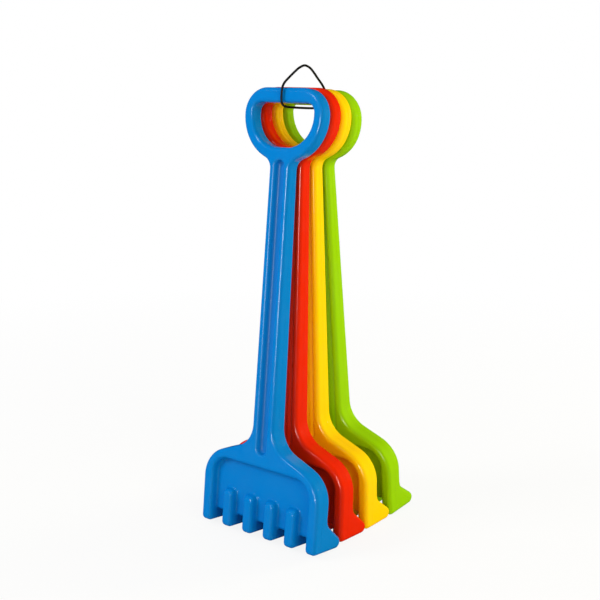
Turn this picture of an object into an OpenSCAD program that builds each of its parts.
// Four moulded sand rakes standing one behind the other, held together by a cord loop through their grips.
// X runs across the rakes, Y from the front rake to the back one, and Z up from the floor.

/* [Rake] */
// Length of a rake from the soles of its heels to the top of its grip
rake_len = 452; // [400:4:500]
// Width of the head over its outer teeth
head_w = 150; // [135:1:180]
// Depth of the head from front to back
head_d = 21.5; // [20:0.5:26]
// Radius on the edges of the moulding
edge_r = 4; // [2.5:0.1:4.4]
// Radius on the edges of the groove
lip_r = 2.8; // [2:0.1:3]
// Radius where a recess's wall meets its floor
floor_r = 1.8; // [1:0.1:1.9]

/* [Handle] */
// Width of the D-shaped handle
handle_w = 97; // [88:1:110]
// Depth of the handle from front to back
handle_d = 15.5; // [14:0.5:17]
// Height of the grip bar across the top
grip_h = 14.5; // [13:0.5:18]
// Width of the band down each side of the hand hole
band_w = 11.5; // [10:0.5:13]
// Radius of the handle's top corners
handle_corner_r = 26; // [18:0.5:27]
// Radius of the hand hole's top corners
hole_corner_r = 9; // [8:0.5:14]
// Radius of the handle's lower corners
bowl_r = 44.5; // [41:0.5:46]
// Radius of the hand hole's lower corners
hole_bowl_r = 31; // [28:0.5:33]
// Radius of the hollow between the handle and the shaft
neck_r = 12; // [8:0.5:20]

/* [Shaft] */
// Width of the shaft under the handle
shaft_top_w = 25; // [22:0.5:28]
// Width of the shaft above the head
shaft_base_w = 27; // [24:0.5:30]
// Width of the groove down the shaft
groove_w = 11; // [8:0.5:12]
// Depth of the groove in the front
groove_d = 6.5; // [5:0.5:7]
// Depth of the groove in the back
back_groove_d = 5; // [5:0.5:5.5]

/* [Head] */
// Height of the centre of the hollow between the shaft and the head, over the top of the shoulder
hip_rise = 32.5; // [30:0.5:36]
// Radius of that hollow
hip_r = 28; // [24:1:30]
// Height of the top of the rounded shoulder
shoulder_h = 84; // [80:0.5:86]
// Radius of the shoulder
shoulder_r = 34; // [30:1:36]
// Height of the top of the recessed panel
panel_top_h = 73; // [68:0.5:74]
// Height of the bottom edge of the recessed panel
panel_foot_h = 13.5; // [11:0.5:16]
// Radius of the panel's top corners
panel_corner_r = 18; // [12:1:20]
// Depth of the panel behind the front
panel_d = 8.5; // [6:0.5:9]
// Depth of the panel behind the back
back_panel_d = 6.5; // [6.5:0.5:8]

/* [Teeth] */
// Number of teeth
tooth_count = 6; // [4:1:7]
// Width of a tooth
tooth_w = 12.5; // [10:0.5:14]
// Height of the rib that each tooth makes on the panel
rib_h = 41; // [36:1:46]
// Length of a tooth's sole from the front to the tip of the heel
heel_len = 45; // [42:0.5:50]
// Radius of the heel's tip
heel_r = 6.5; // [5:0.25:7]
// Radius of the toe
toe_r = 5; // [4.6:0.1:6]
// Height of the toe over the heel
toe_rise = 1; // [0.5:0.1:3]
// Radius of the hollow above the heel
calf_r = 13; // [10:0.5:15]
// Height of the centre of the hollow above the heel
calf_h = 35; // [33:0.5:40]
// Radius of the rib's top corners
rib_r = 6; // [4:0.5:6]

/* [Set] */
// Backward lean of the front rake
front_lean_angle = 6.2; // [4:0.1:8]
// Clearance between a rake and the next
stack_gap = 0.35; // [0.25:0.05:0.6]
// Thickness of the cord
cord_d = 2.3; // [1.8:0.1:2.6]

/* [Hidden] */

over = 1;
groove_top_share = 1.1;
groove_foot_share = 1.3;
corner_steps = 5;
bowl_steps = 6;
neck_steps = 4;
hip_steps = 5;
shoulder_steps = 6;
toe_steps = 2;
heel_steps = 6;
calf_steps = 5;
rib_steps = 2;
round_share = 1 - sqrt(0.5);

// How far in from an edge, and how far down it, each step of a rounded edge lies, as shares of its radius
round_shares = [[1, 0], [round_share, round_share], [0, 1]];

blue = [0.00, 0.50, 0.84];
red = [0.93, 0.18, 0.02];
yellow = [1.00, 0.80, 0.00];
green = [0.63, 0.80, 0.03];
black = [0.06, 0.06, 0.07];

// Centres of the outline's arcs on the right side, as [across, up]
corner_c = [handle_w / 2 - handle_corner_r, rake_len - handle_corner_r];
hole_c = [handle_w / 2 - band_w - hole_corner_r, rake_len - grip_h - hole_corner_r];
bowl_c = [handle_w / 2 - bowl_r, min(corner_c[1], hole_c[1])];
hole_bowl_c = [handle_w / 2 - band_w - hole_bowl_r, bowl_c[1]];
neck_x = shaft_top_w / 2 + neck_r;
neck_c = [neck_x, bowl_c[1] - sqrt((bowl_r + neck_r) ^ 2 - (neck_x - bowl_c[0]) ^ 2)];
hip_h = shoulder_h + hip_rise;
hip_c = [shaft_base_w / 2 + hip_r, hip_h];
shoulder_c = [head_w / 2 - shoulder_r, shoulder_h - shoulder_r];
panel_c = [head_w / 2 - tooth_w - panel_corner_r, panel_top_h - panel_corner_r];
bowl_end_a = direction(bowl_c, neck_c);
shoulder_end_a = crossing_a(shoulder_c, shoulder_r, hip_c, hip_r);

// Centres of a tooth's arcs, as [back, up]
toe_c = [toe_r, toe_r + toe_rise];
heel_c = [heel_len - heel_r, heel_r];
calf_c = [head_d + calf_r, calf_h];
heel_end_a = crossing_a(heel_c, heel_r, calf_c, calf_r);
sole_a = direction(toe_c, heel_c) - acos((toe_r - heel_r) / norm(heel_c - toe_c));
tooth_pitch = (head_w - tooth_w) / (tooth_count - 1);

// Ends of the groove, below the hand hole and above the panel
groove_top_h = bowl_c[1] - hole_bowl_r - groove_top_share * band_w;
groove_foot_h = panel_top_h + groove_foot_share * groove_w;

// A rake's neighbour leans against its grip and against its heels, so its front touches both arcs
grip_back_c = [handle_d - edge_r, rake_len - edge_r];
lean_step = atan2(heel_c[0] - grip_back_c[0], grip_back_c[1] - heel_c[1])
    + asin((heel_r - edge_r) / norm(heel_c - grip_back_c));

function direction(a, b) = atan2(b[1] - a[1], b[0] - a[0]);

// Direction from circle a to where the straight line that crosses over to circle b leaves it
function crossing_a(a, ra, b, rb) = direction(a, b) - acos((ra + rb) / norm(b - a));

function arc(c, r, from_a, to_a, steps) =
    [for (k = [0:steps]) let (a = from_a + (to_a - from_a) * k / steps) c + r * [cos(a), sin(a)]];

function reversed(list) = [for (k = [len(list) - 1:-1:0]) list[k]];

// A whole outline from its right half, which runs from the top down
function both_sides(half) = concat(half, [for (p = reversed(half)) [-p[0], p[1]]]);

function depth_at(h) =
    h >= neck_c[1] ? handle_d
    : h <= hip_h ? head_d
    : head_d + (handle_d - head_d) * (h - hip_h) / (neck_c[1] - hip_h);

// Outline of the body, drawn in by an inset
function body_outline(inset) = both_sides(concat(
    arc(corner_c, handle_corner_r - inset, 90, 0, corner_steps),
    arc(bowl_c, bowl_r - inset, 0, bowl_end_a, bowl_steps),
    arc(neck_c, neck_r + inset, bowl_end_a + 180, 180, neck_steps),
    arc(hip_c, hip_r + inset, 180, shoulder_end_a + 180, hip_steps),
    arc(shoulder_c, shoulder_r - inset, shoulder_end_a, 0, shoulder_steps),
    [[head_w / 2 - inset, panel_foot_h + inset]]));

function hole_outline(inset) = both_sides(concat(
    arc(hole_c, hole_corner_r - inset, 90, 0, corner_steps),
    arc(hole_bowl_c, hole_bowl_r - inset, -90 / bowl_steps, -90, bowl_steps - 1)));

function groove_outline(inset) = both_sides(concat(
    arc([0, groove_top_h - groove_w / 2], groove_w / 2 - inset, 75, 0, neck_steps),
    arc([0, groove_foot_h + groove_w / 2], groove_w / 2 - inset, 0, -75, neck_steps)));

function panel_outline(inset) = both_sides(concat(
    arc(panel_c, panel_corner_r - inset, 90, 0, corner_steps),
    [[head_w / 2 - tooth_w - inset, panel_foot_h - over]]));

// Outline of a tooth from the side, as [back, up]
function tooth_outline(inset) = concat(
    arc(toe_c, toe_r - inset, 180, sole_a + 360, toe_steps),
    arc(heel_c, heel_r - inset, sole_a, heel_end_a, heel_steps),
    arc(calf_c, calf_r + inset, heel_end_a + 180, 180, calf_steps),
    arc([head_d - rib_r, rib_h - rib_r], rib_r - inset, 0, 90, rib_steps),
    arc([rib_r, rib_h - rib_r], rib_r - inset, 90, 180, rib_steps));

function lean(i) = front_lean_angle - i * lean_step;

// A point of rake i, given as [back, up] in its own frame, before the rake is put in its place
function leaned(i, p) = [p[0] * cos(lean(i)) + p[1] * sin(lean(i)), p[1] * cos(lean(i)) - p[0] * sin(lean(i))];

// Height at which rake i has its lowest arc on the floor
function lift(i) = max(toe_r - leaned(i, toe_c)[1], heel_r - leaned(i, heel_c)[1]);

// Place along Y of rake i, whose front just clears the heels of the rake before it
function place(i) = i == 0 ? 0 :
    let (heel = leaned(i - 1, heel_c) + [place(i - 1), lift(i - 1)])
    heel[0] + (heel_r + stack_gap - (heel[1] - lift(i)) * sin(lean(i))) / cos(lean(i));

// The set is centred on its own depth
front_y = leaned(0, toe_c)[0] - toe_r;
back_y = place(3) + leaned(3, heel_c)[0] + heel_r;
set_y = -(front_y + back_y) / 2;

// Route of the cord in the plane x = 0, as [back, up]: from the top of the knot over the set,
// down in front of the first grip, back under all four and up to the bottom of the knot
cord_route = [
    [24.7, 445], [24.6, 447.4], [23.6, 449.9], [21.6, 452.5], [17.5, 456.6], [12, 461.2], [5.2, 467.2],
    [-1, 471.5], [-9, 473.8], [-17, 471.9], [-23, 469], [-35, 461.8], [-41, 457.6], [-44.3, 452.8],
    [-45.4, 446.5], [-45.5, 441.5], [-44.7, 438.5], [-42.3, 436.1], [-38, 434.8], [-30, 434], [-15, 433],
    [0, 432.2], [12, 432], [18, 432.4], [21.6, 433.8], [23.9, 436.4], [24.7, 439.6]];
cord_steps = 2;
cord_sides = 8;
knot_r = 3;
knot_clearance = 0.1;
knot_top_h = cord_route[0][1] - knot_clearance;
knot_foot_h = cord_route[len(cord_route) - 1][1] + knot_clearance;
knot_bevel = 1.6;

// A point on the smooth curve from b to c, whose neighbours are a and d
function smooth(a, b, c, d, t) =
    (2 * b + (c - a) * t + (2 * a - 5 * b + 4 * c - d) * t ^ 2 + (3 * b - a - 3 * c + d) * t ^ 3) / 2;

function near(list, k) = list[max(0, min(len(list) - 1, k))];

cord_line = concat(
    [for (k = [0:len(cord_route) - 2], s = [0:cord_steps - 1])
        smooth(near(cord_route, k - 1), cord_route[k], cord_route[k + 1], near(cord_route, k + 2), s / cord_steps)],
    [cord_route[len(cord_route) - 1]]);

// A closed skin through rings of points whose ends are closed by rungs from side to side
module skin(rings) {
    n = len(rings[0]);
    last = (len(rings) - 1) * n;
    polyhedron([for (r = rings) each r], concat(
        [for (i = [0:n / 2 - 2]) [i, i + 1, n - 2 - i, n - 1 - i]],
        [for (i = [0:n / 2 - 2]) [last + n - 1 - i, last + n - 2 - i, last + i + 1, last + i]],
        bands(n, len(rings))));
}

// The same, with flat ends
module flat_skin(rings) {
    n = len(rings[0]);
    polyhedron([for (r = rings) each r], concat(
        [[for (i = [0:n - 1]) i], [for (i = [n - 1:-1:0]) (len(rings) - 1) * n + i]],
        bands(n, len(rings))));
}

function bands(n, rings) = [for (j = [0:rings - 2], i = [0:n - 1])
    let (a = j * n + i, b = j * n + (i + 1) % n)
    each [[a, b + n, b], [a, a + n, b + n]]];

// The space between rings that bulge outwards all round, one layer at a time
module layers(rings) {
    for (k = [0:len(rings) - 2]) hull() skin([rings[k], rings[k + 1]]);
}

// The body as one piece, without its openings
module body() {
    skin(concat(
        [for (s = round_shares) [for (p = body_outline(s[0] * edge_r)) [p[0], s[1] * edge_r, p[1]]]],
        [for (s = reversed(round_shares)) [for (p = body_outline(s[0] * edge_r))
            [p[0], depth_at(p[1]) - s[1] * edge_r, p[1]]]]));
}

// What a recess takes away from the front: its mouth and its floor are rounded
module front_recess(outline, deep, mouth_r) {
    layers(recess_rings(outline, deep, mouth_r, function(h, d) d));
}

module back_recess(outline, deep, mouth_r) {
    mirror([0, 1, 0]) layers(recess_rings(outline, deep, mouth_r, function(h, d) d - depth_at(h)));
}

function recess_rings(outline, deep, mouth_r, seat) = [for (s = concat(
        [[-mouth_r, -over]],
        [for (s = round_shares) mouth_r * [-s[0], s[1]]],
        [for (s = reversed(round_shares)) [floor_r * s[0], deep - floor_r * s[1]]]))
    [for (p = outline(s[0])) [p[0], seat(p[1], s[1]), p[1]]]];

// What the hand hole takes away, right through the handle
module hand_hole() {
    layers(concat(
        [[for (p = hole_outline(-edge_r)) [p[0], -over, p[1]]]],
        [for (s = round_shares) [for (p = hole_outline(-edge_r * s[0])) [p[0], edge_r * s[1], p[1]]]],
        [for (s = reversed(round_shares)) [for (p = hole_outline(-edge_r * s[0]))
            [p[0], handle_d - edge_r * s[1], p[1]]]],
        [[for (p = hole_outline(-edge_r)) [p[0], handle_d + over, p[1]]]]));
}

module tooth() {
    flat_skin(concat(
        [for (s = round_shares) [for (p = tooth_outline(s[0] * edge_r)) [s[1] * edge_r, p[0], p[1]]]],
        [for (s = reversed(round_shares)) [for (p = tooth_outline(s[0] * edge_r))
            [tooth_w - s[1] * edge_r, p[0], p[1]]]]));
}

// One rake, standing upright with its front on the plane y = 0
module rake() {
    difference() {
        body();
        hand_hole();
        front_recess(function(i) groove_outline(i), groove_d, lip_r);
        back_recess(function(i) groove_outline(i), back_groove_d, lip_r);
        front_recess(function(i) panel_outline(i), panel_d, edge_r);
        back_recess(function(i) panel_outline(i), back_panel_d, edge_r);
    }
    for (k = [0:tooth_count - 1])
        translate([k * tooth_pitch - head_w / 2, 0, 0]) tooth();
}

// Rake i in its place in the set
module placed_rake(i) {
    translate([0, place(i) + set_y, lift(i)]) rotate([-lean(i), 0, 0]) rake();
}

module blue_rake() { color(blue) placed_rake(0); }
module red_rake() { color(red) placed_rake(1); }
module yellow_rake() { color(yellow) placed_rake(2); }
module green_rake() { color(green) placed_rake(3); }

module hang_loop() {
    color(black) flat_skin([for (k = [0:len(cord_line) - 1])
        let (along = near(cord_line, k + 1) - near(cord_line, k - 1), n = along / norm(along))
        [for (i = [0:cord_sides - 1])
            let (a = 360 * (i + 0.5) / cord_sides, out = cord_d / 2 * sin(a))
            [cord_d / 2 * cos(a), cord_line[k][0] + out * n[1], cord_line[k][1] - out * n[0]]]]);
}

// The knot, drawn as the barrel that it fills
module loop_knot() {
    color(black) translate([0, cord_route[0][0], knot_foot_h]) rotate_extrude($fn = 24)
        polygon([[0, 0], [cord_d / 2, 0], [knot_r, knot_bevel], [knot_r, knot_top_h - knot_foot_h - knot_bevel],
            [cord_d / 2, knot_top_h - knot_foot_h], [0, knot_top_h - knot_foot_h]]);
}

blue_rake();
red_rake();
yellow_rake();
green_rake();
hang_loop();
loop_knot();
